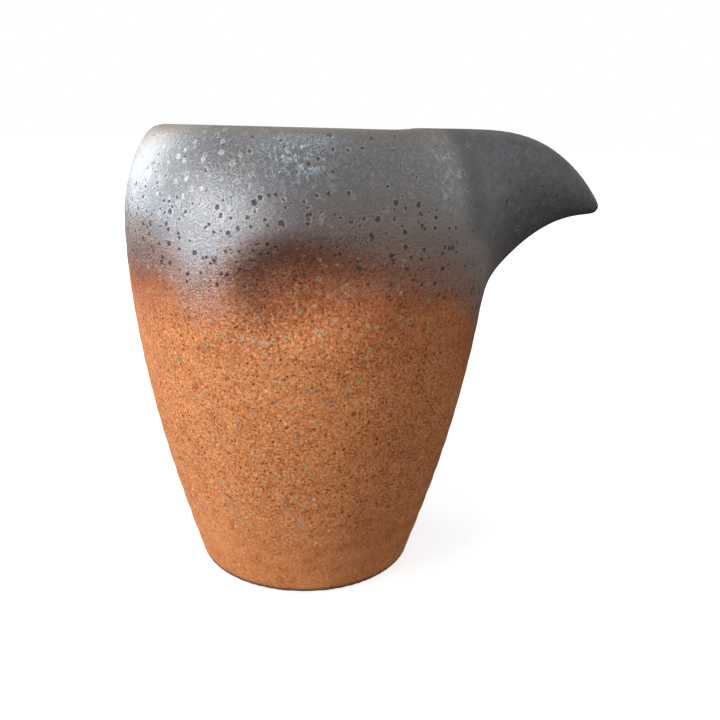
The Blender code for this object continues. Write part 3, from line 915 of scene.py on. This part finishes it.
    # relief, in mm
    still = m.flip(m.most(m.times(beak, 0.75), m.times(pale, 0.60)))
    relief = m.times(m.times(m.plus(wrinkle, -0.5), m.times(film, still)), m.plus(m.times(edge, m.plus(m.times(wash, 0.16), 0.18)), 0.05))
    relief = m.plus(relief, m.times(m.plus(grit, -0.5), m.times(film, m.times(still, 0.14))))
    relief = m.plus(relief, m.times(m.plus(grain, -0.5), m.times(bare, m.times(m.times(lively, soft), 0.13))))
    relief = m.plus(relief, m.times(m.plus(fine, -0.5), m.times(bare, m.times(m.times(lively, soft), 0.10))))
    relief = m.plus(relief, m.times(m.plus(sugar, -0.5), m.times(crust, 0.14)))
    relief = m.plus(relief, m.times(m.plus(streak, -0.5), m.times(crystal, 0.30)))
    relief = m.plus(relief, m.times(pit, -0.10))
    relief = m.plus(relief, m.times(ring, 0.03))
    relief = m.plus(relief, m.times(speck, -0.03))
    bump = m.add("ShaderNodeBump", {"Strength": 1.0, "Distance": MM, "Height": relief})

    rough = m.plus(m.times(m.plus(m.noise(p, 0.45, 3.0, 0.6), -0.5), 0.20), m.plus(m.times(film, -0.30), 0.85))
    rough = m.plus(rough, m.times(pit, 0.10))
    gloss = m.times(film, m.flip(m.times(pit, 0.85)))
    shader = m.add("ShaderNodeBsdfPrincipled", {"Base Color": base, "Roughness": rough, "Normal": bump.outputs[0],
                                                "Coat Weight": gloss, "Coat Normal": bump.outputs[0]})
    shader.inputs["IOR"].default_value = 1.5
    shader.inputs["Specular IOR Level"].default_value = 0.25
    shader.inputs["Coat Roughness"].default_value = 0.31
    shader.inputs["Coat IOR"].default_value = 1.56
    out = m.add("ShaderNodeOutputMaterial")
    m.tree.links.new(shader.outputs[0], out.inputs["Surface"])
    return m.mat


PIECES = ((body, "thrown_body", "iron_stoneware"),
          (beak, "beak_spout", "slate_glaze"),
          (seam, "luting_coil", "seam_glaze"))
for piece, node, slot in PIECES:
    dress(piece)
    piece.data.materials.clear()
    piece.data.materials.append(stoneware(slot + "_finish_with_painted_light"))
    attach(piece, "root")
    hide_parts(node)


# --------------------------------------------------------------------- studio
def look_at(obj, target):
    obj.rotation_euler = (Vector(target) - obj.location).to_track_quat("-Z", "Y").to_euler()


def soft_light(name, place, target, size, power, colour):
    light = bpy.data.lights.new(name, "AREA")
    light.shape, light.size, light.size_y = "RECTANGLE", size[0], size[1]
    light.energy, light.color = power, colour
    obj = bpy.data.objects.new(name, light)
    obj.location = place
    bpy.context.scene.collection.objects.link(obj)
    look_at(obj, target)
    return obj


MIDDLE = (0.0, 0.0, 0.06)
soft_light("key", (-0.77, -0.41, 0.19), MIDDLE, (0.40, 0.46), 10.0, (0.95, 1.0, 1.06))
soft_light("side", (-0.62, 0.45, 0.30), MIDDLE, (0.40, 0.40), 2.6, (0.96, 1.0, 1.05))
soft_light("sky", (-0.07, -0.16, 0.85), MIDDLE, (0.14, 0.10), 1.7, (0.66, 0.84, 1.0))

world = bpy.data.worlds.new("studio")
bpy.context.scene.world = world
world.use_nodes = True
tree = world.node_tree
tree.nodes.clear()
way = tree.nodes.new("ShaderNodeTexCoord")
turn = tree.nodes.new("ShaderNodeVectorMath")
turn.operation = "DOT_PRODUCT"
turn.inputs[1].default_value = Vector((0.15, -0.95, 0.25)).normalized()
tree.links.new(way.outputs["Generated"], turn.inputs[0])
level = tree.nodes.new("ShaderNodeMapRange")
level.inputs["From Min"].default_value = -1.0
level.inputs["From Max"].default_value = 1.0
level.inputs["To Min"].default_value = 0.20
level.inputs["To Max"].default_value = 0.95
tree.links.new(turn.outputs["Value"], level.inputs["Value"])
room = tree.nodes.new("ShaderNodeBackground")
room.inputs["Color"].default_value = (1.0, 0.985, 0.96, 1.0)
apart = tree.nodes.new("ShaderNodeSeparateXYZ")
tree.links.new(way.outputs["Generated"], apart.inputs[0])
ground = tree.nodes.new("ShaderNodeMapRange")
ground.interpolation_type = "SMOOTHSTEP"
ground.inputs["From Min"].default_value = -0.45
ground.inputs["From Max"].default_value = 0.15
ground.inputs["To Min"].default_value = 0.14
ground.inputs["To Max"].default_value = 1.0
tree.links.new(apart.outputs["Z"], ground.inputs["Value"])
dimmed = tree.nodes.new("ShaderNodeMath")
dimmed.operation = "MULTIPLY"
wall = tree.nodes.new("ShaderNodeVectorMath")
wall.operation = "DOT_PRODUCT"
wall.inputs[1].default_value = Vector((-0.52, 0.84, 0.10)).normalized()
tree.links.new(way.outputs["Generated"], wall.inputs[0])
glowing = tree.nodes.new("ShaderNodeMapRange")
glowing.interpolation_type = "SMOOTHSTEP"
glowing.inputs["From Min"].default_value = 0.70
glowing.inputs["From Max"].default_value = 1.0
glowing.inputs["To Min"].default_value = 0.0
glowing.inputs["To Max"].default_value = 0.42
tree.links.new(wall.outputs["Value"], glowing.inputs["Value"])
both_walls = tree.nodes.new("ShaderNodeMath")
both_walls.operation = "ADD"
tree.links.new(level.outputs[0], both_walls.inputs[0])
tree.links.new(glowing.outputs[0], both_walls.inputs[1])
tree.links.new(both_walls.outputs[0], dimmed.inputs[0])
tree.links.new(ground.outputs[0], dimmed.inputs[1])
tree.links.new(dimmed.outputs[0], room.inputs["Strength"])
paper = tree.nodes.new("ShaderNodeBackground")
paper.inputs["Color"].default_value = (1.0, 1.0, 1.0, 1.0)
path = tree.nodes.new("ShaderNodeLightPath")
either = tree.nodes.new("ShaderNodeMixShader")
tree.links.new(path.outputs["Is Camera Ray"], either.inputs[0])
tree.links.new(room.outputs[0], either.inputs[1])
tree.links.new(paper.outputs[0], either.inputs[2])
tree.links.new(either.outputs[0], tree.nodes.new("ShaderNodeOutputWorld").inputs["Surface"])

floor_mesh = bpy.data.meshes.new("floor")
bm = bmesh.new()
bmesh.ops.create_grid(bm, x_segments=1, y_segments=1, size=6.0)
bm.to_mesh(floor_mesh)
bm.free()
floor = bpy.data.objects.new("floor", floor_mesh)
floor.location.z = -0.0001
bpy.context.scene.collection.objects.link(floor)
card = Recipe("pale_card")
lit = card.add("ShaderNodeBsdfDiffuse", {"Color": (0.40, 0.40, 0.40)})
spot = card.add("ShaderNodeVectorMath", {0: card.add("ShaderNodeTexCoord").outputs["Object"]}, operation="LENGTH")
glow = card.add("ShaderNodeEmission", {"Color": (1.0, 1.0, 1.0),
                                       "Strength": card.add("ShaderNodeMapRange", {"Value": spot.outputs["Value"],
                                                                                   "From Min": 0.05, "From Max": 0.45,
                                                                                   "To Min": 0.76, "To Max": 1.0}).outputs[0]})
both = card.add("ShaderNodeAddShader", {0: lit.outputs[0], 1: glow.outputs[0]})
card.tree.links.new(both.outputs[0], card.add("ShaderNodeOutputMaterial").inputs["Surface"])
floor_mesh.materials.append(card.mat)
floor.visible_diffuse = False
floor.visible_glossy = False

# --------------------------------------------------------------------- camera
CAMERA_PLACE = (0.0, -0.190, 0.11062)
CAMERA_YAW = 0.0712
CAMERA_PITCH = 0.2989
CAMERA_ROLL = 0.0353
CAMERA_LENS = 37.58

ahead = Vector((math.sin(CAMERA_YAW) * math.cos(CAMERA_PITCH),
                math.cos(CAMERA_YAW) * math.cos(CAMERA_PITCH), -math.sin(CAMERA_PITCH)))
right = Vector((math.cos(CAMERA_YAW), -math.sin(CAMERA_YAW), 0.0))
up = right.cross(ahead)
side = math.cos(CAMERA_ROLL) * right + math.sin(CAMERA_ROLL) * up
top = math.cos(CAMERA_ROLL) * up - math.sin(CAMERA_ROLL) * right
lens = bpy.data.cameras.new("view")
lens.sensor_width, lens.lens = 36.0, CAMERA_LENS
lens.clip_start = 0.01
camera = bpy.data.objects.new("view", lens)
camera.matrix_world = Matrix(((side.x, top.x, -ahead.x, CAMERA_PLACE[0]),
                              (side.y, top.y, -ahead.y, CAMERA_PLACE[1]),
                              (side.z, top.z, -ahead.z, CAMERA_PLACE[2]),
                              (0.0, 0.0, 0.0, 1.0)))
bpy.context.scene.collection.objects.link(camera)
bpy.context.scene.camera = camera
bpy.context.scene.view_settings.view_transform = "Standard"
